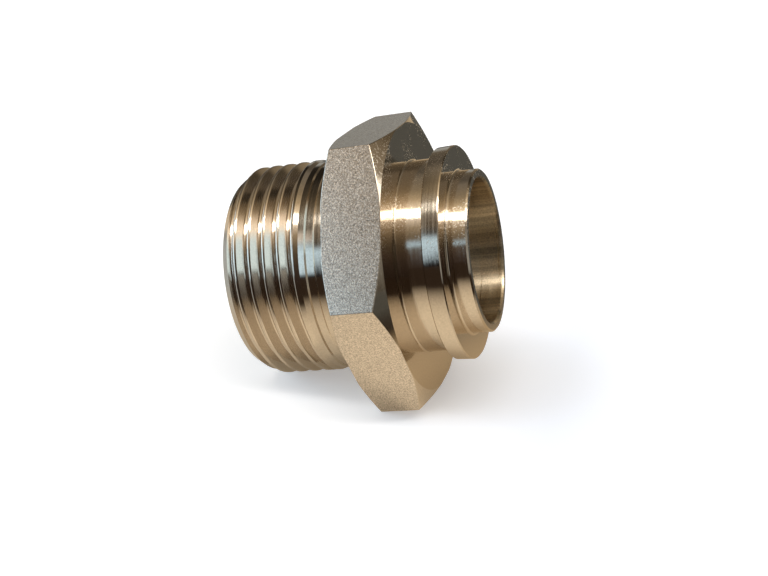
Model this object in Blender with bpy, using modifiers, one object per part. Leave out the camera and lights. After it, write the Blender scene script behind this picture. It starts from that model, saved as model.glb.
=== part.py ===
"""Weld nipple: a one-piece stainless fitting turned from hexagon bar.

Along its own axis, from the thread end up, it has a parallel pipe thread with a
chamfered start, a plain relief with two fine shoulders, a hexagon chamfered on
both faces, a neck, a round collar and a short thin-walled spigot.  A plain bore
runs right through.  The piece lies as it comes to rest: tipped over towards the
thread, on one edge of the hexagon and the crest of the thread.

Lengths are in metres, +Z is up.
"""

import math

import bmesh
import bpy
from mathutils import Matrix, Vector

MM = 0.001

# pipe thread of one inch nominal size, 55 degree rounded form
THREAD_DIAMETER = 33.249 * MM
THREAD_PITCH = 2.309 * MM
THREAD_FLANK_ANGLE = math.radians(27.5)
THREAD_DEPTH = 0.640327 * THREAD_PITCH
THREAD_ROUNDING = 0.137329 * THREAD_PITCH
THREAD_PHASE = math.radians(-157.0)
THREAD_CREST_LAND = math.radians(10.0)
THREAD_LENGTH = 11.95 * MM

# groove cutter: where it starts and stops, and how it lifts clear of the crests
GROOVE_START = -1.5 * THREAD_PITCH
GROOVE_CLEARANCE = 2 * THREAD_ROUNDING
RUN_OUT_LENGTH = 1.0 * MM
RUN_OUT_TURN = 0.2
LIFT_OUT = 1.1 * THREAD_DEPTH

# chamfered thread start
START_CHAMFER_LENGTH = 2.3 * MM
START_CHAMFER_HEIGHT = 1.55 * MM

# plain relief between the thread and the hexagon
SHANK_LENGTH = 17.95 * MM
RELIEF_STEP = 0.275 * MM
RELIEF_TAPER = 0.7 * MM
FIRST_SHOULDER_FROM_HEX = 4.4 * MM
SECOND_SHOULDER_FROM_HEX = 3.05 * MM
FIRST_SHOULDER_HEIGHT = 0.22 * MM
SECOND_SHOULDER_HEIGHT = 0.14 * MM
RELIEF_FILLET = 0.35 * MM

# hexagon: its round end faces reach a little past the flats, more on the thread side
HEX_ACROSS_FLATS = 41.0 * MM
HEX_WIDTH = 8.8 * MM
HEX_CHAMFER_ANGLE = math.radians(25.0)
HEX_NECK_FACE_MARGIN = 0.1 * MM
HEX_THREAD_FACE_MARGIN = 0.4 * MM
BLANK_ALLOWANCE = 1.0 * MM

# through bore
BORE_DIAMETER = 22.0 * MM
BORE_CHAMFER = 0.3 * MM

# neck, collar and spigot, sized from the bore outwards
NECK_WALL = 3.75 * MM
NECK_LENGTH = 4.35 * MM
NECK_FILLET = 0.3 * MM
COLLAR_HEIGHT = 1.55 * MM
COLLAR_WIDTH = 2.6 * MM
SPIGOT_WALL = 1.4 * MM
SPIGOT_LENGTH = 3.1 * MM
SPIGOT_FILLET = 0.4 * MM
SPIGOT_CHAMFER = 0.25 * MM

OVERALL_LENGTH = SHANK_LENGTH + HEX_WIDTH + NECK_LENGTH + COLLAR_WIDTH + SPIGOT_LENGTH

# small edge break on every turned corner
EDGE_BREAK = 0.15 * MM

# facets around a full turn, and how far apart merged points may be
TURN_STEPS = 48
MERGE_DISTANCE = 0.01 * MM


def clear_scene():
    """Remove every object, so the script can run in any open file."""
    for old in list(bpy.data.objects):
        bpy.data.objects.remove(old, do_unlink=True)


def make_collection(name):
    """Add a new collection to the scene."""
    collection = bpy.data.collections.new(name)
    bpy.context.scene.collection.children.link(collection)
    return collection


def steel_material():
    """Bright turned stainless steel with a slightly warm tone."""
    material = bpy.data.materials.new("stainless_steel")
    material.use_nodes = True
    shader = material.node_tree.nodes["Principled BSDF"]
    shader.inputs["Base Color"].default_value = (0.58, 0.53, 0.46, 1.0)
    shader.inputs["Metallic"].default_value = 1.0
    shader.inputs["Roughness"].default_value = 0.22
    return material


def add_object(name, bm, collection):
    """Turn a bmesh into a named object."""
    mesh = bpy.data.meshes.new(name)
    bm.to_mesh(mesh)
    bm.free()
    obj = bpy.data.objects.new(name, mesh)
    collection.objects.link(obj)
    return obj


def closed_loop(bm, outline):
    """Join (radius, height) points into a closed loop of edges in the XZ plane."""
    verts = [bm.verts.new((radius, 0.0, height)) for radius, height in outline]
    return [bm.edges.new((verts[i - 1], verts[i])) for i in range(len(verts))]


def fillet(centre_radius, centre_height, radius, start, end, parts=3):
    """Points along an arc between two angles, given in degrees."""
    angles = [math.radians(start + (end - start) * i / parts) for i in range(parts + 1)]
    return [
        (centre_radius + radius * math.cos(a), centre_height + radius * math.sin(a))
        for a in angles
    ]


def spigot_outline(end_height, face_height):
    """Chamfered rim, outside of the spigot and the fillet at its foot."""
    outer = BORE_DIAMETER / 2 + SPIGOT_WALL
    foot = fillet(outer + SPIGOT_FILLET, face_height + SPIGOT_FILLET, SPIGOT_FILLET, 180, 270)
    return [
        (BORE_DIAMETER / 2 + BORE_CHAMFER, end_height),
        (outer - SPIGOT_CHAMFER, end_height),
        (outer, end_height - SPIGOT_CHAMFER),
        *foot,
    ]


def collar_outline(top, bottom):
    """Round collar with both corners broken."""
    outer = BORE_DIAMETER / 2 + NECK_WALL + COLLAR_HEIGHT
    return [
        (outer - EDGE_BREAK, top),
        (outer, top - EDGE_BREAK),
        (outer, bottom + EDGE_BREAK),
        (outer - EDGE_BREAK, bottom),
    ]


def hex_outline(top, bottom):
    """Disc wider than the hexagon's corners, chamfered on both faces."""
    neck_face = HEX_ACROSS_FLATS / 2 + HEX_NECK_FACE_MARGIN
    thread_face = HEX_ACROSS_FLATS / 2 + HEX_THREAD_FACE_MARGIN
    rim = HEX_ACROSS_FLATS / math.sqrt(3) + BLANK_ALLOWANCE
    slope = math.tan(HEX_CHAMFER_ANGLE)
    return [
        (neck_face, top),
        (rim, top - (rim - neck_face) * slope),
        (rim, bottom + (rim - thread_face) * slope),
        (thread_face, bottom),
    ]


def shank_outline(hex_face):
    """Relief shoulders, thread blank and chamfered start, down to the end face."""
    major = THREAD_DIAMETER / 2
    relief = major - RELIEF_STEP
    middle = relief - FIRST_SHOULDER_HEIGHT
    root = middle - SECOND_SHOULDER_HEIGHT
    first = hex_face - FIRST_SHOULDER_FROM_HEX
    second = hex_face - SECOND_SHOULDER_FROM_HEX
    return [
        *fillet(root + RELIEF_FILLET, hex_face - RELIEF_FILLET, RELIEF_FILLET, 90, 180),
        (root, second + SECOND_SHOULDER_HEIGHT),
        (middle, second),
        (middle, first + FIRST_SHOULDER_HEIGHT),
        (relief, first),
        (relief, THREAD_LENGTH + RELIEF_TAPER),
        (major, THREAD_LENGTH),
        (major, START_CHAMFER_LENGTH),
        (major - START_CHAMFER_HEIGHT, 0.0),
    ]


def nipple_outline():
    """Half section of the turned blank: down the outside, then up the bore."""
    hex_bottom = SHANK_LENGTH
    hex_top = hex_bottom + HEX_WIDTH
    collar_bottom = hex_top + NECK_LENGTH
    collar_top = collar_bottom + COLLAR_WIDTH
    bore = BORE_DIAMETER / 2
    neck = bore + NECK_WALL
    return [
        *spigot_outline(OVERALL_LENGTH, collar_top),
        *collar_outline(collar_top, collar_bottom),
        *fillet(neck + NECK_FILLET, collar_bottom - NECK_FILLET, NECK_FILLET, 90, 180),
        *fillet(neck + NECK_FILLET, hex_top + NECK_FILLET, NECK_FILLET, 180, 270),
        *hex_outline(hex_top, hex_bottom),
        *shank_outline(hex_bottom),
        (bore + BORE_CHAMFER, 0.0),
        (bore, BORE_CHAMFER),
        (bore, OVERALL_LENGTH - BORE_CHAMFER),
    ]


def turned_blank(collection):
    """The whole piece as it leaves the lathe, before the flats and the thread."""
    bm = bmesh.new()
    closed_loop(bm, nipple_outline())
    blank = add_object("weld_nipple", bm, collection)
    screw = blank.modifiers.new("turning", "SCREW")
    screw.axis = "Z"
    screw.steps = TURN_STEPS
    screw.render_steps = TURN_STEPS
    screw.use_merge_vertices = True
    screw.merge_threshold = MERGE_DISTANCE
    return blank


def hexagon_bar(collection):
    """Hexagonal bar with one flat facing +X, reaching well past both ends."""
    corner = HEX_ACROSS_FLATS / math.sqrt(3)
    bm = bmesh.new()
    bmesh.ops.create_cone(
        bm, cap_ends=True, segments=6, radius1=corner, radius2=corner, depth=3 * OVERALL_LENGTH
    )
    return add_object("hexagon_bar", bm, collection)


def groove_section():
    """Section of the thread groove: rounded root, straight flanks, rounded crests."""
    major = THREAD_DIAMETER / 2
    minor = major - THREAD_DEPTH
    half = THREAD_PITCH / 2
    reach = 90.0 - math.degrees(THREAD_FLANK_ANGLE)
    land = math.degrees(THREAD_CREST_LAND)
    above = major + GROOVE_CLEARANCE
    root = fillet(minor + THREAD_ROUNDING, 0.0, THREAD_ROUNDING, 180 + reach, 180 - reach, 4)
    upper = fillet(major - THREAD_ROUNDING, half, THREAD_ROUNDING, -reach, -land, 2)
    lower = fillet(major - THREAD_ROUNDING, -half, THREAD_ROUNDING, land, reach, 2)
    return [*root, *upper, (above, upper[-1][1]), (above, lower[0][1]), *lower]


def thread_groove(collection):
    """Right-hand groove swept from below the end face, lifting out at the run-out."""
    climb = THREAD_PITCH / TURN_STEPS
    full_steps = round((THREAD_LENGTH - RUN_OUT_LENGTH - GROOVE_START) / climb)
    lift_steps = round(RUN_OUT_TURN * TURN_STEPS)
    lift = LIFT_OUT / lift_steps
    bm = bmesh.new()
    start = closed_loop(bm, groove_section())
    placed = Matrix.Translation((0.0, 0.0, GROOVE_START)) @ Matrix.Rotation(THREAD_PHASE, 4, "Z")
    bmesh.ops.transform(bm, matrix=placed, verts=bm.verts)
    front = start + list(bm.verts)
    for step in range(full_steps + lift_steps):
        swept = bmesh.ops.spin(
            bm, geom=front, axis=(0, 0, 1), cent=(0, 0, 0),
            dvec=(0, 0, climb), angle=2 * math.pi / TURN_STEPS, steps=1,
        )
        front = swept["geom_last"]
        if step >= full_steps:
            for vert in [item for item in front if isinstance(item, bmesh.types.BMVert)]:
                vert.co += lift * Vector((vert.co.x, vert.co.y, 0.0)).normalized()
    bmesh.ops.contextual_create(bm, geom=start)
    bmesh.ops.contextual_create(bm, geom=[e for e in front if isinstance(e, bmesh.types.BMEdge)])
    bmesh.ops.recalc_face_normals(bm, faces=bm.faces)
    return add_object("thread_groove", bm, collection)


def cut(target, cutter, operation):
    """Boolean the cutter with the target and keep the cutter out of the render."""
    boolean = target.modifiers.new(cutter.name, "BOOLEAN")
    boolean.operation = operation
    boolean.solver = "EXACT"
    boolean.object = cutter
    cutter.hide_render = True
    cutter.display_type = "WIRE"


def finished_points(obj):
    """Corner points of the finished solid, in the object's own frame."""
    bpy.context.view_layer.update()
    evaluated = obj.evaluated_get(bpy.context.evaluated_depsgraph_get())
    return [vert.co.copy() for vert in evaluated.to_mesh().vertices]


def rest_tilt(points):
    """Angle the piece tips over the hexagon's edge until the thread touches down."""
    apothem = HEX_ACROSS_FLATS / 2
    shank = [p for p in points if p.z < SHANK_LENGTH - FIRST_SHOULDER_FROM_HEX]
    return min(math.atan2(apothem - p.x, SHANK_LENGTH - p.z) for p in shank)


def lay_down(obj, cutters, collection):
    """Lay the piece with its cutters in its rest pose, centred over the origin."""
    points = finished_points(obj)
    turn = math.pi / 2 - rest_tilt(points)
    turned = [Matrix.Rotation(turn, 3, "Y") @ p for p in points]
    low = Vector([min(p[i] for p in turned) for i in range(3)])
    high = Vector([max(p[i] for p in turned) for i in range(3)])
    middle = (low + high) / 2
    rest = bpy.data.objects.new("rest_pose", None)
    collection.objects.link(rest)
    rest.rotation_euler = (0.0, turn, 0.0)
    rest.location = (-middle.x, -middle.y, -low.z)
    for member in [obj, *cutters]:
        member.parent = rest


def build():
    """Build the weld nipple."""
    clear_scene()
    parts = make_collection("weld_nipple")
    cutters = make_collection("cutters")
    nipple = turned_blank(parts)
    nipple.data.materials.append(steel_material())
    flats = hexagon_bar(cutters)
    groove = thread_groove(cutters)
    cut(nipple, flats, "INTERSECT")
    cut(nipple, groove, "DIFFERENCE")
    lay_down(nipple, [flats, groove], parts)


build()
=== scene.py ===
import math

import bmesh
import bpy
from mathutils import Euler, Matrix, Vector


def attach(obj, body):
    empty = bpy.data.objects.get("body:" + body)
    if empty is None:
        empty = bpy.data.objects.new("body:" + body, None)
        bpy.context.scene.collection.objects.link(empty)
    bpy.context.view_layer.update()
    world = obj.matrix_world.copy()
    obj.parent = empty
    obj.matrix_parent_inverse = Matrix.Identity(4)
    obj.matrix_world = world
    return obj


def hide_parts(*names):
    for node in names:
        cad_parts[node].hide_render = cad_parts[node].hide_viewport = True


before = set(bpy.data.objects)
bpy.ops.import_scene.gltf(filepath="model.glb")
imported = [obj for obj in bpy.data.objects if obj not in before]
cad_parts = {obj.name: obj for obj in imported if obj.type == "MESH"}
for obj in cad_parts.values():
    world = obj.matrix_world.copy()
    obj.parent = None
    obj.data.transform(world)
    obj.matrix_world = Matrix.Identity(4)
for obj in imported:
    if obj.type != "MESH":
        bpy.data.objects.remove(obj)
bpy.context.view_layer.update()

# Looks of a weld nipple of stainless steel. It is one turned piece, which is modelled standing on its
# thread end along +Z and then laid down as it rests. Lengths are in metres.
MM = 0.001


def degrees(*angles):
    """Angles given in degrees, in the radians that Blender works in."""
    return tuple(math.radians(angle) for angle in angles)


# how the fitting lies: its own axis starts out along +Z and is turned about Y
REST_TURN = math.radians(75.22014)
REST_PLACE = (-17.41817 * MM, 0.0, 15.24257 * MM)
FITTING_AXIS = (math.sin(REST_TURN), 0.0, math.cos(REST_TURN))

# pipe thread of one inch nominal size, 55 degree rounded form
THREAD_RADIUS = 33.249 / 2 * MM
THREAD_PITCH = 2.309 * MM
THREAD_FLANK_ANGLE = 27.5
THREAD_DEPTH = 0.640327 * THREAD_PITCH
THREAD_ROUNDING = 0.137329 * THREAD_PITCH
THREAD_PHASE = math.radians(-157.0)
THREAD_LENGTH = 11.95 * MM
CREST_LAND = 10.0
GROOVE_START = -1.5 * THREAD_PITCH
GROOVE_CLEARANCE = 2 * THREAD_ROUNDING
RUN_OUT_LENGTH = 1.0 * MM
RUN_OUT_TURN = 0.2
LIFT_OUT = 1.1 * THREAD_DEPTH
START_CHAMFER_LENGTH = 2.3 * MM
START_CHAMFER_HEIGHT = 1.55 * MM

# relief between the thread and the hexagon; each shoulder is its place before the hexagon and its height
SHANK_LENGTH = 17.95 * MM
RELIEF_STEP = 0.275 * MM
RELIEF_TAPER = 0.7 * MM
FIRST_SHOULDER = (4.4 * MM, 0.22 * MM)
SECOND_SHOULDER = (3.05 * MM, 0.14 * MM)
RELIEF_FILLET = 0.35 * MM
ROOT_TAPER = 0.05 * MM

# hexagon
FLAT_COUNT = 6
APOTHEM = 20.5 * MM
HEX_CORNER = APOTHEM / math.cos(math.pi / FLAT_COUNT)
HEX_WIDTH = 8.8 * MM
HEX_CHAMFER_SLOPE = math.tan(math.radians(25.0))
NECK_FACE_MARGIN = 0.1 * MM
THREAD_FACE_MARGIN = 0.4 * MM
BLANK_ALLOWANCE = 1.0 * MM
FLAT_EDGE_BREAK = 0.07 * MM

# bore, neck, collar and spigot
BORE_RADIUS = 11.0 * MM
BORE_CHAMFER = 0.3 * MM
NECK_RADIUS = BORE_RADIUS + 3.75 * MM
NECK_LENGTH = 4.35 * MM
NECK_FILLET = 0.3 * MM
COLLAR_RADIUS = NECK_RADIUS + 1.55 * MM
COLLAR_WIDTH = 2.6 * MM
COLLAR_TAPER = 0.09 * MM
SPIGOT_RADIUS = BORE_RADIUS + 1.4 * MM
SPIGOT_LENGTH = 3.1 * MM
SPIGOT_FILLET = 0.4 * MM
SPIGOT_CHAMFER = 0.25 * MM
EDGE_BREAK = 0.15 * MM
OVERALL_LENGTH = SHANK_LENGTH + HEX_WIDTH + NECK_LENGTH + COLLAR_WIDTH + SPIGOT_LENGTH

# facets around a full turn; a multiple of 12, so that corners fall on the facets' edges
TURN_STEPS = 144
FILLET_PARTS = 6
ROOT_PARTS = 8
CREST_PARTS = 5

# how close points are before they are welded or taken to lie on a cut, and the least bend of a sharp edge
WELD_DISTANCE = 0.001 * MM
CUT_DISTANCE = 0.0005 * MM
SHARP_BEND = 0.1

# material slots of the piece
TURNED, FLATS, BORE, THREAD = range(4)


def arc(centre_radius, centre_height, radius, start, end, parts=FILLET_PARTS):
    """Points along an arc between two angles, given in degrees."""
    angles = [math.radians(start + (end - start) * i / parts) for i in range(parts + 1)]
    return [(centre_radius + radius * math.cos(a), centre_height + radius * math.sin(a)) for a in angles]


def closed_loop(bm, outline):
    """Join (radius, height) points into a closed loop of edges in the XZ plane."""
    verts = [bm.verts.new((radius, 0.0, height)) for radius, height in outline]
    return [bm.edges.new((verts[i - 1], verts[i])) for i in range(len(verts))]


def shank_outline():
    """Relief shoulders, thread blank and chamfered start, from the hexagon down to the end face."""
    relief = THREAD_RADIUS - RELIEF_STEP
    middle = relief - FIRST_SHOULDER[1]
    root = middle - SECOND_SHOULDER[1]
    first = SHANK_LENGTH - FIRST_SHOULDER[0]
    second = SHANK_LENGTH - SECOND_SHOULDER[0]
    return [
        *arc(root + RELIEF_FILLET, SHANK_LENGTH - RELIEF_FILLET, RELIEF_FILLET, 90, 180),
        (root + ROOT_TAPER, second + SECOND_SHOULDER[1]),
        (middle, second),
        (middle, first + FIRST_SHOULDER[1]),
        (relief, first),
        (relief, THREAD_LENGTH + RELIEF_TAPER),
        (THREAD_RADIUS, THREAD_LENGTH),
        (THREAD_RADIUS, START_CHAMFER_LENGTH),
        (THREAD_RADIUS - START_CHAMFER_HEIGHT, 0.0),
    ]


def hexagon_outline(top, bottom):
    """Disc wider than the hexagon's corners, chamfered on both faces."""
    rim = HEX_CORNER + BLANK_ALLOWANCE
    neck_face = APOTHEM + NECK_FACE_MARGIN
    thread_face = APOTHEM + THREAD_FACE_MARGIN
    return [
        (neck_face, top),
        (rim, top - (rim - neck_face) * HEX_CHAMFER_SLOPE),
        (rim, bottom + (rim - thread_face) * HEX_CHAMFER_SLOPE),
        (thread_face, bottom),
    ]


def nipple_outline():
    """Half section of the turned blank: down the outside, then up the bore."""
    hex_top = SHANK_LENGTH + HEX_WIDTH
    collar_bottom = hex_top + NECK_LENGTH
    collar_top = collar_bottom + COLLAR_WIDTH
    end = OVERALL_LENGTH
    return [
        (BORE_RADIUS + BORE_CHAMFER, end),
        (SPIGOT_RADIUS - SPIGOT_CHAMFER, end),
        (SPIGOT_RADIUS, end - SPIGOT_CHAMFER),
        *arc(SPIGOT_RADIUS + SPIGOT_FILLET, collar_top + SPIGOT_FILLET, SPIGOT_FILLET, 180, 270),
        (COLLAR_RADIUS - EDGE_BREAK, collar_top),
        (COLLAR_RADIUS, collar_top - EDGE_BREAK),
        (COLLAR_RADIUS - COLLAR_TAPER, collar_bottom + EDGE_BREAK),
        (COLLAR_RADIUS - COLLAR_TAPER - EDGE_BREAK, collar_bottom),
        *arc(NECK_RADIUS + NECK_FILLET, collar_bottom - NECK_FILLET, NECK_FILLET, 90, 180),
        *arc(NECK_RADIUS + NECK_FILLET, hex_top + NECK_FILLET, NECK_FILLET, 180, 270),
        *hexagon_outline(hex_top, SHANK_LENGTH),
        *shank_outline(),
        (BORE_RADIUS + BORE_CHAMFER, 0.0),
        (BORE_RADIUS, BORE_CHAMFER),
        (BORE_RADIUS, end - BORE_CHAMFER),
    ]


def turn_blank():
    """The whole piece as it leaves the lathe, with the bore's faces marked."""
    bm = bmesh.new()
    edges = closed_loop(bm, nipple_outline())
    bmesh.ops.spin(
        bm, geom=edges + list(bm.verts), axis=(0, 0, 1), cent=(0, 0, 0),
        angle=2 * math.pi, steps=TURN_STEPS, use_merge=True,
    )
    bmesh.ops.remove_doubles(bm, verts=bm.verts, dist=WELD_DISTANCE)
    bmesh.ops.recalc_face_normals(bm, faces=bm.faces)
    for face in bm.faces:
        middle = face.calc_center_median()
        inside = math.hypot(middle.x, middle.y) < BORE_RADIUS + BORE_CHAMFER
        face.material_index = BORE if inside else TURNED
    return bm


def cut_flats(bm):
    """Cut the flats of the hexagon and break their edges."""
    for flat in range(FLAT_COUNT):
        angle = flat * 2 * math.pi / FLAT_COUNT
        outward = Vector((math.cos(angle), math.sin(angle), 0.0))
        cut = bmesh.ops.bisect_plane(
            bm, geom=bm.verts[:] + bm.edges[:] + bm.faces[:], dist=CUT_DISTANCE,
            plane_co=outward * APOTHEM, plane_no=outward, clear_outer=True,
        )
        rim = [item for item in cut["geom_cut"] if isinstance(item, bmesh.types.BMEdge)]
        made = bmesh.ops.contextual_create(bm, geom=rim)
        for face in made["faces"]:
            face.material_index = FLATS
    bmesh.ops.recalc_face_normals(bm, faces=bm.faces)
    sharp = [
        edge for edge in bm.edges
        if any(face.material_index == FLATS for face in edge.link_faces)
        and edge.calc_face_angle(0.0) > SHARP_BEND
    ]
    bmesh.ops.bevel(
        bm, geom=sharp, offset=FLAT_EDGE_BREAK, affect="EDGES", segments=2,
        profile=0.5, material=-1, clamp_overlap=True,
    )


def groove_section():
    """Section of the thread groove: rounded root, straight flanks, rounded crests."""
    minor = THREAD_RADIUS - THREAD_DEPTH
    half = THREAD_PITCH / 2
    reach = 90.0 - THREAD_FLANK_ANGLE
    above = THREAD_RADIUS + GROOVE_CLEARANCE
    crest = THREAD_RADIUS - THREAD_ROUNDING
    root = arc(minor + THREAD_ROUNDING, 0.0, THREAD_ROUNDING, 180 + reach, 180 - reach, ROOT_PARTS)
    upper = arc(crest, half, THREAD_ROUNDING, -reach, -CREST_LAND, CREST_PARTS)
    lower = arc(crest, -half, THREAD_ROUNDING, CREST_LAND, reach, CREST_PARTS)
    return [*root, *upper, (above, upper[-1][1]), (above, lower[0][1]), *lower]


def thread_groove():
    """Right-hand groove swept from below the end face, lifting out at the run-out."""
    climb = THREAD_PITCH / TURN_STEPS
    full_steps = round((THREAD_LENGTH - RUN_OUT_LENGTH - GROOVE_START) / climb)
    lift_steps = round(RUN_OUT_TURN * TURN_STEPS)
    bm = bmesh.new()
    start = closed_loop(bm, groove_section())
    placed = Matrix.Translation((0.0, 0.0, GROOVE_START)) @ Matrix.Rotation(THREAD_PHASE, 4, "Z")
    bmesh.ops.transform(bm, matrix=placed, verts=bm.verts)
    front = start + list(bm.verts)
    for step in range(full_steps + lift_steps):
        swept = bmesh.ops.spin(
            bm, geom=front, axis=(0, 0, 1), cent=(0, 0, 0),
            dvec=(0, 0, climb), angle=2 * math.pi / TURN_STEPS, steps=1,
        )
        front = swept["geom_last"]
        if step >= full_steps:
            for vert in [item for item in front if isinstance(item, bmesh.types.BMVert)]:
                vert.co += LIFT_OUT / lift_steps * Vector((vert.co.x, vert.co.y, 0.0)).normalized()
    bmesh.ops.contextual_create(bm, geom=start)
    bmesh.ops.contextual_create(bm, geom=[e for e in front if isinstance(e, bmesh.types.BMEdge)])
    bmesh.ops.recalc_face_normals(bm, faces=bm.faces)
    for face in bm.faces:
        face.material_index = THREAD
    return bm


def add_object(name, bm):
    """Turn a bmesh into a named object of the scene."""
    mesh = bpy.data.meshes.new(name)
    bm.to_mesh(mesh)
    bm.free()
    obj = bpy.data.objects.new(name, mesh)
    bpy.context.scene.collection.objects.link(obj)
    return obj


def cut_thread(blank, groove):
    """Subtract the groove from the blank, and drop the groove."""
    boolean = blank.modifiers.new("thread", "BOOLEAN")
    boolean.operation = "DIFFERENCE"
    boolean.solver = "EXACT"
    boolean.object = groove
    bpy.context.view_layer.update()
    cut = bpy.data.meshes.new_from_object(blank.evaluated_get(bpy.context.evaluated_depsgraph_get()))
    blank.modifiers.clear()
    blank.data = cut
    bpy.data.objects.remove(groove)


def shade_round(mesh):
    """Shade each turned or threaded facet as part of the round surface it stands for."""
    mesh.shade_smooth()
    normals = [None] * len(mesh.loops)
    for face in mesh.polygons:
        flat = face.material_index == FLATS
        turn_of_face = math.atan2(face.center.y, face.center.x)
        for loop_index in face.loop_indices:
            place = mesh.vertices[mesh.loops[loop_index].vertex_index].co
            turn = 0.0 if flat else math.atan2(place.y, place.x) - turn_of_face
            normals[loop_index] = Matrix.Rotation(turn, 3, "Z") @ face.normal
    mesh.normals_split_custom_set(normals)


def build_nipple():
    """The finished fitting in its rest pose, with its place in its mesh."""
    bm = turn_blank()
    cut_flats(bm)
    nipple = add_object("nipple_body", bm)
    # the finishes go on before the cut, so that the cut faces keep the slots they were given
    finish_nipple(nipple)
    cut_thread(nipple, add_object("groove", thread_groove()))
    shade_round(nipple.data)
    nipple.data.transform(Matrix.Translation(REST_PLACE) @ Matrix.Rotation(REST_TURN, 4, "Y"))
    return nipple


WHITE = "#FFFFFF"


def colour(hex_code):
    """sRGB hex value as linear RGBA."""
    parts = [int(hex_code[i:i + 2], 16) / 255 for i in (1, 3, 5)]
    linear = [c / 12.92 if c <= 0.04045 else ((c + 0.055) / 1.055) ** 2.4 for c in parts]
    return (*linear, 1.0)


def add_node(tree, kind, settings=None, inputs=None, links=None):
    """Add a node, set its options and input values, and link its inputs."""
    node = tree.nodes.new("ShaderNode" + kind)
    for key, value in (settings or {}).items():
        setattr(node, key, value)
    for key, value in (inputs or {}).items():
        node.inputs[key].default_value = value
    for key, socket in (links or {}).items():
        tree.links.new(socket, node.inputs[key])
    return node


def maths(tree, operation, *values):
    """Result of one operation; each value is a number or a socket."""
    numbers = {i: value for i, value in enumerate(values) if isinstance(value, (int, float))}
    sockets = {i: value for i, value in enumerate(values) if i not in numbers}
    return add_node(tree, "Math", {"operation": operation}, numbers, sockets).outputs["Value"]


def product(tree, *factors):
    """All the factors multiplied together."""
    result = factors[0]
    for factor in factors[1:]:
        result = maths(tree, "MULTIPLY", result, factor)
    return result


def ranged(tree, value, start, stop, low, high):
    """low up to start and high from stop on, with a straight line between them."""
    node = add_node(tree, "MapRange", None,
                    {"From Min": start, "From Max": stop, "To Min": low, "To Max": high}, {"Value": value})
    return node.outputs["Result"]


def soft_step(tree, value, start, stop):
    """0 before start and 1 after stop, with a smooth rise between them."""
    node = add_node(tree, "MapRange", {"interpolation_type": "SMOOTHSTEP"},
                    {"From Min": start, "From Max": stop}, {"Value": value})
    return node.outputs["Result"]


def blend(tree, share, first, second):
    """Colour between two others, each a hex value or a socket."""
    both = {"Color1": first, "Color2": second}
    fixed = {key: colour(value) for key, value in both.items() if isinstance(value, str)}
    linked = {key: value for key, value in both.items() if key not in fixed}
    return add_node(tree, "MixRGB", None, fixed, {"Fac": share, **linked}).outputs["Color"]


def mix(tree, share, first, second):
    """Shader between two others."""
    return add_node(tree, "MixShader", None, None, {0: share, 1: first, 2: second}).outputs["Shader"]


def background(tree, tone, strength):
    """Plain light from the world, of a hex colour and a number or of two sockets."""
    if isinstance(tone, str):
        node = add_node(tree, "Background", None, {"Color": colour(tone), "Strength": strength})
    else:
        node = add_node(tree, "Background", None, None, {"Color": tone, "Strength": strength})
    return node.outputs["Background"]


def glowing(tree, surface, glow):
    """A surface with its own glow added."""
    both = add_node(tree, "AddShader", None, None,
                    {0: surface.outputs["BSDF"], 1: glow.outputs["Emission"]})
    return both.outputs["Shader"]


def camera_ray(tree):
    """1 where the camera looks straight, 0 in reflections and in the light that falls on things."""
    return add_node(tree, "LightPath").outputs["Is Camera Ray"]


def share_along(tree, way, axis):
    """How much of a direction goes along an axis, from -1 to 1."""
    node = add_node(tree, "VectorMath", {"operation": "DOT_PRODUCT"}, {1: tuple(axis)}, {0: way})
    return node.outputs["Value"]


def bearing_of(tree, axes):
    """Angle around the fitting: 0 towards the front, a quarter turn below 0 to the left."""
    return maths(tree, "ARCTAN2", axes["X"], maths(tree, "MULTIPLY", axes["Y"], -1.0))


def noise(tree, spot, sizes_mm, detail, roughness=0.5):
    """Noise whose features have the given sizes across and along the fitting."""
    scaled = add_node(tree, "Mapping", None, {"Scale": [1000.0 / size for size in sizes_mm]},
                      {"Vector": spot})
    node = add_node(tree, "TexNoise", None, {"Scale": 1.0, "Detail": detail, "Roughness": roughness},
                    {"Vector": scaled.outputs["Vector"]})
    return node.outputs["Fac"]


def new_material(name):
    """An empty node material with its output."""
    material = bpy.data.materials.new(name)
    material.use_nodes = True
    material.node_tree.nodes.clear()
    return material, material.node_tree, material.node_tree.nodes.new("ShaderNodeOutputMaterial")


# values between which noise mostly stays, used for the grain and the rings, and for the stripes
NOISE_SPAN = (0.3, 0.7)
STREAK_SPAN = (0.35, 0.65)

# shares of a finish's roughness on its smoothest and its roughest rings
RING_ROUGHNESS = (0.7, 1.35)

# a quarter turn away from the rings, so that highlights are drawn out across them
SMEAR_TURN = 0.25

# handling leaves specks about 0.3 mm wide, in patches some 5 mm wide, on the upper side of the neck's end
SCUFF_MM = 0.30
SCUFF_PATCH_MM = 5.0
SCUFF_EDGE = (0.57, 0.65)
SCUFF_PATCH_EDGE = (0.38, 0.58)
SCUFFED_HEIGHT = (26 * MM, 31 * MM)
SCUFFED_LENGTH = (SHANK_LENGTH + HEX_WIDTH / 2, SHANK_LENGTH + HEX_WIDTH)

# stripes about a millimetre wide are painted into the bore's tint along it: painted highlights in the pale
# ones and painted shade in the dark ones, which differ more from the metal's tint than the pale ones
STREAK_MM = 0.9
STREAK_LENGTH_MM = 120.0
STREAK_PALE_SHARE = 0.5


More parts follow.
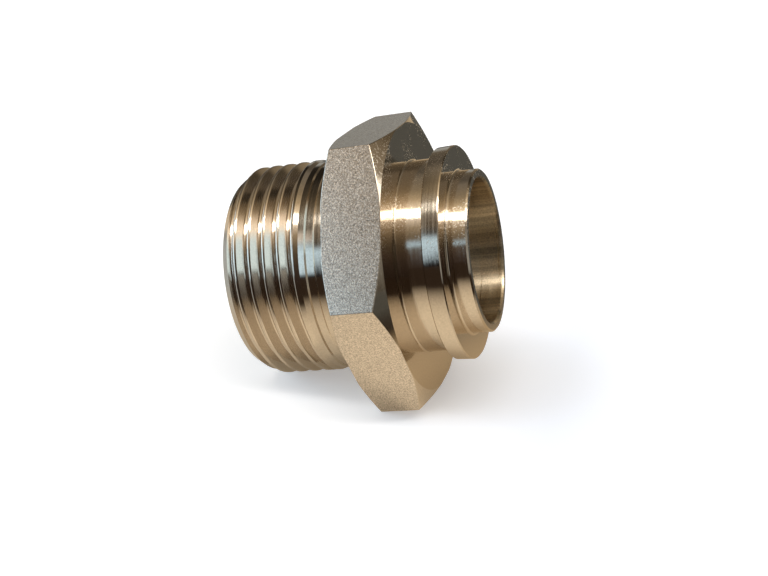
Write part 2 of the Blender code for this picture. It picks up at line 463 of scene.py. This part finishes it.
def scuff_specks(tree, place, spot):
    """1 on the specks that handling has left, 0 elsewhere."""
    up = add_node(tree, "SeparateXYZ", None, None, {"Vector": place}).outputs["Z"]
    forward = add_node(tree, "SeparateXYZ", None, None, {"Vector": spot}).outputs["Z"]
    return product(
        tree,
        soft_step(tree, noise(tree, spot, [SCUFF_MM] * 3, detail=1.0), *SCUFF_EDGE),
        soft_step(tree, noise(tree, spot, [SCUFF_PATCH_MM] * 3, detail=1.0), *SCUFF_PATCH_EDGE),
        soft_step(tree, up, *SCUFFED_HEIGHT),
        soft_step(tree, forward, *SCUFFED_LENGTH),
    )


def steel(name, tint, roughness, smear, feed_mm, ring_mm, feed_depth_mm, grain_mm, grain_depth_mm,
          speckle, scuff=0.0, streak=0.0):
    """Stainless steel with rings left by the tool and a fine grain.

    The rings are feed_mm apart and run on for ring_mm. smear draws highlights out across the rings.
    speckle is how much the grain changes the tint, and streak how much the stripes of painted highlight
    and painted shade along the bore change it; scuff is how much rougher a scuffed speck is.
    """
    material, tree, output = new_material(name)
    place = add_node(tree, "TexCoord").outputs["Object"]
    upright = add_node(tree, "Mapping", {"vector_type": "TEXTURE"},
                       {"Location": REST_PLACE, "Rotation": (0.0, REST_TURN, 0.0)}, {"Vector": place})
    spot = upright.outputs["Vector"]
    rings = noise(tree, spot, (ring_mm, ring_mm, feed_mm), detail=2.0, roughness=0.6)
    grain = noise(tree, spot, [grain_mm] * 3, detail=3.0, roughness=0.65)
    ring_bump = add_node(tree, "Bump", None, {"Strength": 1.0, "Distance": feed_depth_mm * MM},
                         {"Height": rings})
    grain_bump = add_node(tree, "Bump", None, {"Strength": 1.0, "Distance": grain_depth_mm * MM},
                          {"Height": grain, "Normal": ring_bump.outputs["Normal"]})
    shade = ranged(tree, grain, *NOISE_SPAN, 1.0 - speckle, 1.0 + speckle)
    # stripes of painted highlight and painted shade along the bore, painted into the tint
    if streak:
        stripes = noise(tree, spot, (STREAK_MM, STREAK_MM, STREAK_LENGTH_MM), detail=3.0, roughness=0.6)
        painted_streaks = ranged(tree, stripes, *STREAK_SPAN, 1.0 - streak, 1.0 + STREAK_PALE_SHARE * streak)
        shade = product(tree, shade, painted_streaks)
    shaded_tint = add_node(tree, "VectorMath", {"operation": "SCALE"}, {0: colour(tint)[:3]},
                           {"Scale": shade})
    rough = ranged(tree, rings, *NOISE_SPAN, *[roughness * share for share in RING_ROUGHNESS])
    if scuff:
        rough = maths(tree, "MULTIPLY_ADD", scuff_specks(tree, place, spot), scuff, rough)
    centred = add_node(tree, "Mapping", None, {"Location": [-c for c in REST_PLACE]}, {"Vector": place})
    around = add_node(tree, "VectorMath", {"operation": "CROSS_PRODUCT"}, {0: FITTING_AXIS},
                      {1: centred.outputs["Vector"]})
    shader = add_node(tree, "BsdfPrincipled", None,
                      {"Metallic": 1.0, "Anisotropic": smear, "Anisotropic Rotation": SMEAR_TURN},
                      {"Base Color": shaded_tint.outputs["Vector"], "Roughness": rough,
                       "Normal": grain_bump.outputs["Normal"], "Tangent": around.outputs["Vector"]})
    tree.links.new(shader.outputs["BSDF"], output.inputs["Surface"])
    return material


def finish_nipple(nipple):
    """Give each kind of surface its own finish, in the order of the slots."""
    materials = [
        # Fine-turned stainless steel. A sharp tool leaves rings so close that the surface is nearly a
        # mirror: it shows the room crisply, with its highlights drawn out along the fitting. The rings of
        # a finishing cut are about 0.1 mm apart, too fine to show at this size, so they are drawn as
        # coarse as 0.3 mm.
        steel("fine_turned_stainless", "#CEC3B4", roughness=0.10, smear=0.50,
              feed_mm=0.30, ring_mm=50.0, feed_depth_mm=0.0014,
              grain_mm=0.25, grain_depth_mm=0.0004, speckle=0.10, scuff=0.32),
        # Drawn hexagon bar of stainless steel, left as it came. Drawing and pickling leave a matt grey
        # skin with a sandy grain of some 0.2 mm: it reflects no shapes, only the mean light of its side.
        # It has no rings, so its marks run no further than they are apart.
        steel("drawn_bar_stainless", "#C9BFB3", roughness=0.20, smear=0.0,
              feed_mm=0.40, ring_mm=0.4, feed_depth_mm=0.0002,
              grain_mm=0.20, grain_depth_mm=0.0120, speckle=0.45),
        # Bored stainless steel. A long boring bar at a coarse feed, some 0.35 mm a turn, leaves rougher
        # rings: the wall glows in stripes along the bore instead of mirroring. Its browner tint is a
        # painted reflection of its own warm far side, and its tint has stripes of painted highlight and
        # painted shade.
        steel("bored_stainless", "#CDBDA3", roughness=0.34, smear=0.98,
              feed_mm=0.35, ring_mm=50.0, feed_depth_mm=0.0060,
              grain_mm=0.25, grain_depth_mm=0.0030, speckle=0.25, streak=0.36),
        # Thread-cut stainless steel. The flanks are burnished by the form tool: bright, nearly a mirror,
        # with only the faintest rings, drawn at 0.3 mm too.
        steel("thread_cut_stainless", "#D5CBBE", roughness=0.11, smear=0.50,
              feed_mm=0.30, ring_mm=50.0, feed_depth_mm=0.0008,
              grain_mm=0.30, grain_depth_mm=0.0005, speckle=0.05),
    ]
    for material in materials:
        nipple.data.materials.append(material)


# Polished metal is nearly all reflection, and the photo's fitting stands in a room with a warm table,
# though it was cut out onto white. So the metal sees such a room and table, and only the camera sees
# white. A place in the room is given by how far its direction goes across (along ARCH_AXIS) and along
# (along the fitting's axis), each from -1 to 1, and by its height and bearing as angles. A pair is where
# something starts and where it is in full.

# brown walls, which grow paler towards the light
ARCH_AXIS = Vector((-0.218, 0.677, 0.7025)).normalized()
ROOM_STRENGTH = 1.4
ROOM_COLOURS = [
    (-1.00, "#2C2420"),
    (-0.70, "#2F2620"),
    (-0.50, "#3D332D"),
    (-0.35, "#4C4138"),
    (-0.20, "#594F41"),
    (0.00, "#796C59"),
    (0.15, "#9E8E77"),
    (0.28, "#D7C9B7"),
    (0.43, "#FFF7E5"),
    (0.56, "#F2DFC2"),
    (0.68, "#B8A587"),
    (0.82, "#8A7C66"),
    (1.00, "#6E675D"),
]

# strip light that arches overhead
STRIP_ACROSS = 0.425
STRIP_EDGE = (0.105, 0.055)
STRIP_END = (-0.32, -0.29)
STRIP_COLOUR = "#FFFAF2"
STRIP_STRENGTH = 8.0

# darker parts of the room: a curtain beside the window, the far left, and below a height the corner on
# the right and the back wall
CURTAIN_SIDES = ((-0.46, -0.42), (-0.30, -0.335))
CURTAIN_SHARE = 0.15
FAR_LEFT_START = (-0.42, -0.48)
FAR_LEFT_SHARE = 0.7
LOW_WALLS = degrees(48, 36)
CORNER_START = (0.30, 0.42)
CORNER_SHARE = 0.3
BACK_WALL_START = (0.62, 0.76)
BACK_WALL_SHARE = 0.5

# pale window on the left; its sill and lintel slope between two places along and their heights there
WINDOW_SILL = (-0.37, -0.30, *degrees(2, 22))
WINDOW_SILL_EDGE = degrees(-3, 3)
WINDOW_LINTEL = (-0.374, -0.384, *degrees(27, 39))
WINDOW_LINTEL_EDGE = degrees(4, -4)
WINDOW_RIGHT_EDGE = (-0.20, -0.23)
WINDOW_BACK_EDGE = degrees(-108, -92)
WINDOW_COLOUR = "#CAE8FF"
WINDOW_TOP_COLOUR = "#FFF6EA"
WINDOW_TOP_START = degrees(26, 36)
WINDOW_STRENGTH_SPAN = (-0.28, -0.6)
WINDOW_STRENGTH = (0.95, 2.4)

# pale wall on the right, and a pale door at the back on the left
PALE_WALL_COLOUR = "#A6A6A1"
RIGHT_WALL_START = (0.91, 0.96)
DOOR_START = degrees(-128, -148)
DOOR_TOP = degrees(18, 8)


def room_walls(tree, across, along, height):
    """Walls with the strip light on them, dimmer in the darker parts of the room."""
    ramp = add_node(tree, "ValToRGB", None, None, {"Fac": ranged(tree, across, -1.0, 1.0, 0.0, 1.0)})
    stops = ramp.color_ramp.elements
    stops.remove(stops[-1])
    for index, (place, hex_code) in enumerate(ROOM_COLOURS):
        share = (place + 1) / 2
        stop = stops[0] if index == 0 else stops.new(share)
        stop.position = share
        stop.color = colour(hex_code)
    from_strip = maths(tree, "ABSOLUTE", maths(tree, "SUBTRACT", across, STRIP_ACROSS))
    strip = product(tree, soft_step(tree, from_strip, *STRIP_EDGE), soft_step(tree, along, *STRIP_END))
    curtain = product(tree, *[soft_step(tree, along, *side) for side in CURTAIN_SIDES])
    low = soft_step(tree, height, *LOW_WALLS)
    corner = product(tree, low, soft_step(tree, along, *CORNER_START))
    back_wall = product(tree, low, soft_step(tree, across, *BACK_WALL_START))
    strength = product(
        tree,
        ranged(tree, strip, 0.0, 1.0, ROOM_STRENGTH, STRIP_STRENGTH),
        ranged(tree, curtain, 0.0, 1.0, 1.0, CURTAIN_SHARE),
        ranged(tree, along, *FAR_LEFT_START, 1.0, FAR_LEFT_SHARE),
        ranged(tree, corner, 0.0, 1.0, 1.0, CORNER_SHARE),
        ranged(tree, back_wall, 0.0, 1.0, 1.0, BACK_WALL_SHARE),
    )
    tone = blend(tree, strip, ramp.outputs["Color"], STRIP_COLOUR)
    return background(tree, tone, strength)


def window_opening(tree, along, height, bearing):
    """1 inside the window's frame, 0 outside it."""
    above_sill = maths(tree, "SUBTRACT", height, ranged(tree, along, *WINDOW_SILL))
    above_lintel = maths(tree, "SUBTRACT", height, ranged(tree, along, *WINDOW_LINTEL))
    return product(
        tree,
        soft_step(tree, above_sill, *WINDOW_SILL_EDGE),
        soft_step(tree, above_lintel, *WINDOW_LINTEL_EDGE),
        soft_step(tree, along, *WINDOW_RIGHT_EDGE),
        soft_step(tree, bearing, *WINDOW_BACK_EDGE),
    )


def window_pane(tree, along, height):
    """Daylight in the window: blue below, warmer at the top, brighter to the left."""
    sky = blend(tree, soft_step(tree, height, *WINDOW_TOP_START), WINDOW_COLOUR, WINDOW_TOP_COLOUR)
    strength = ranged(tree, along, *WINDOW_STRENGTH_SPAN, *WINDOW_STRENGTH)
    return background(tree, sky, strength)


def light_world():
    """The room as the metal sees it, and plain white behind the fitting for the camera."""
    world = bpy.data.worlds.new("studio")
    bpy.context.scene.world = world
    world.use_nodes = True
    tree = world.node_tree
    tree.nodes.clear()
    output = tree.nodes.new("ShaderNodeOutputWorld")
    way = add_node(tree, "TexCoord").outputs["Generated"]
    axes = add_node(tree, "SeparateXYZ", None, None, {"Vector": way}).outputs
    across = share_along(tree, way, ARCH_AXIS)
    along = share_along(tree, way, FITTING_AXIS)
    height = maths(tree, "ARCSINE", axes["Z"])
    bearing = bearing_of(tree, axes)
    windowed = mix(tree, window_opening(tree, along, height, bearing),
                   room_walls(tree, across, along, height), window_pane(tree, along, height))
    door = product(tree, soft_step(tree, bearing, *DOOR_START), soft_step(tree, height, *DOOR_TOP))
    pale = maths(tree, "MAXIMUM", door, soft_step(tree, along, *RIGHT_WALL_START))
    room = mix(tree, pale, windowed, background(tree, PALE_WALL_COLOUR, 1.0))
    seen = mix(tree, camera_ray(tree), room, background(tree, WHITE, 1.0))
    tree.links.new(seen, output.inputs["Surface"])


FLOOR_HALF_WIDTH = 3.0

# the table as the metal sees it: pale and warm around the fitting, darker and browner behind it with
# painted shade, and fading out by shares of TABLE_REACH; it glows a little, for the light that falls on it
# from outside this simple room
TABLE_MIDDLE = (12 * MM, -5 * MM, 0.0)
TABLE_REACH = (63 * MM, 58 * MM, 1.0)
TABLE_FADE = (0.25, 1.35)
TABLE_COLOUR = "#D9CDB9"
# painted shade on the table behind the fitting
TABLE_SHADE_COLOUR = "#B5A285"
TABLE_SHADE_START = (-16 * MM, 6 * MM)
TABLE_GLOW = 0.35

# what lies beyond the table: dark in front, greyer at the back, and pale below the window, where the
# window's light is painted on
BEYOND_COLOUR = "#2E251E"
BEYOND_BACK_COLOUR = "#4C4D4B"
BEYOND_BACK_START = (0.0, 60 * MM)
# painted window light on the floor below the window
WINDOW_LIGHT_POOL_COLOUR = "#A8B2BB"
WINDOW_FLOOR_FRONT = degrees(-36, -50)
WINDOW_FLOOR_BACK = degrees(-125, -95)

# the paper as the camera sees it: it is lit as if it leant towards the window, which puts the shadow on
# the right as in the photo. It is bluer there, to keep the shadow grey in the room's warm light, and a
# glow that grows further out keeps the shadow short
PAPER_LEAN = (-0.38, 0.0, 0.925)
PAPER_COLOUR = "#F0F2F8"
PAPER_RIGHT_COLOUR = "#D7E2F7"
PAPER_RIGHT_START = (0.0, 40 * MM)
PAPER_GLOW = (0.34, 0.62)
PAPER_GLOW_SPAN = (32 * MM, 58 * MM)


def table_shader(tree, place, axes):
    """Warm table top in the metal with painted shade behind the fitting, and the darker floor beyond it.
    """
    spread = add_node(tree, "Mapping", {"vector_type": "TEXTURE"},
                      {"Location": TABLE_MIDDLE, "Scale": TABLE_REACH}, {"Vector": place})
    away = add_node(tree, "VectorMath", {"operation": "LENGTH"}, None, {0: spread.outputs["Vector"]})
    bearing = bearing_of(tree, axes)
    # painted pool of window light on the floor below the window
    window_light_pool = product(tree, soft_step(tree, bearing, *WINDOW_FLOOR_FRONT),
                           soft_step(tree, bearing, *WINDOW_FLOOR_BACK))
    dark = blend(tree, soft_step(tree, axes["Y"], *BEYOND_BACK_START), BEYOND_COLOUR, BEYOND_BACK_COLOUR)
    beyond = blend(tree, window_light_pool, dark, WINDOW_LIGHT_POOL_COLOUR)
    # painted shade darkens and browns the table behind the fitting
    top = blend(tree, soft_step(tree, axes["Y"], *TABLE_SHADE_START), TABLE_COLOUR, TABLE_SHADE_COLOUR)
    table = blend(tree, soft_step(tree, away.outputs["Value"], *TABLE_FADE), top, beyond)
    surface = add_node(tree, "BsdfDiffuse", None, None, {"Color": table})
    glow = add_node(tree, "Emission", None, {"Strength": TABLE_GLOW}, {"Color": table})
    return glowing(tree, surface, glow)


def paper_shader(tree, axes):
    """White paper that keeps the fitting's shadow."""
    lean = add_node(tree, "CombineXYZ", None, dict(enumerate(PAPER_LEAN)))
    tone = blend(tree, soft_step(tree, axes["X"], *PAPER_RIGHT_START), PAPER_COLOUR, PAPER_RIGHT_COLOUR)
    surface = add_node(tree, "BsdfDiffuse", None, None, {"Color": tone, "Normal": lean.outputs["Vector"]})
    strength = ranged(tree, axes["X"], *PAPER_GLOW_SPAN, *PAPER_GLOW)
    glow = add_node(tree, "Emission", None, {"Color": colour(WHITE)}, {"Strength": strength})
    return glowing(tree, surface, glow)


def add_floor():
    """Pale floor that keeps the shadow: white paper to the camera, a warm table top in the metal."""
    bm = bmesh.new()
    bmesh.ops.create_grid(bm, x_segments=1, y_segments=1, size=FLOOR_HALF_WIDTH)
    floor = add_object("floor", bm)
    material, tree, output = new_material("floor_paper")
    place = add_node(tree, "TexCoord").outputs["Object"]
    axes = add_node(tree, "SeparateXYZ", None, None, {"Vector": place}).outputs
    seen = mix(tree, camera_ray(tree), table_shader(tree, place, axes), paper_shader(tree, axes))
    tree.links.new(seen, output.inputs["Surface"])
    floor.data.materials.append(material)


# the camera, fitted to the edges of the fitting in the photo
CAMERA_PLACE = (40.709 * MM, -150.719 * MM, 78.318 * MM)
CAMERA_TURN = degrees(68.009, -3.769, 15.759)
LENS_MM = 49.747
SENSOR_MM = 36.0
NEAREST_SEEN = 1.0 * MM


def add_camera():
    """Camera at the photograph's viewing angle."""
    data = bpy.data.cameras.new("camera")
    data.lens = LENS_MM
    data.sensor_width = SENSOR_MM
    data.clip_start = NEAREST_SEEN
    camera = bpy.data.objects.new("camera", data)
    camera.location = CAMERA_PLACE
    camera.rotation_euler = Euler(CAMERA_TURN)
    bpy.context.scene.collection.objects.link(camera)
    bpy.context.scene.camera = camera


nipple = build_nipple()
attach(nipple, "root")
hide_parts("weld_nipple")
light_world()
add_floor()
add_camera()
bpy.context.scene.view_settings.view_transform = "Standard"
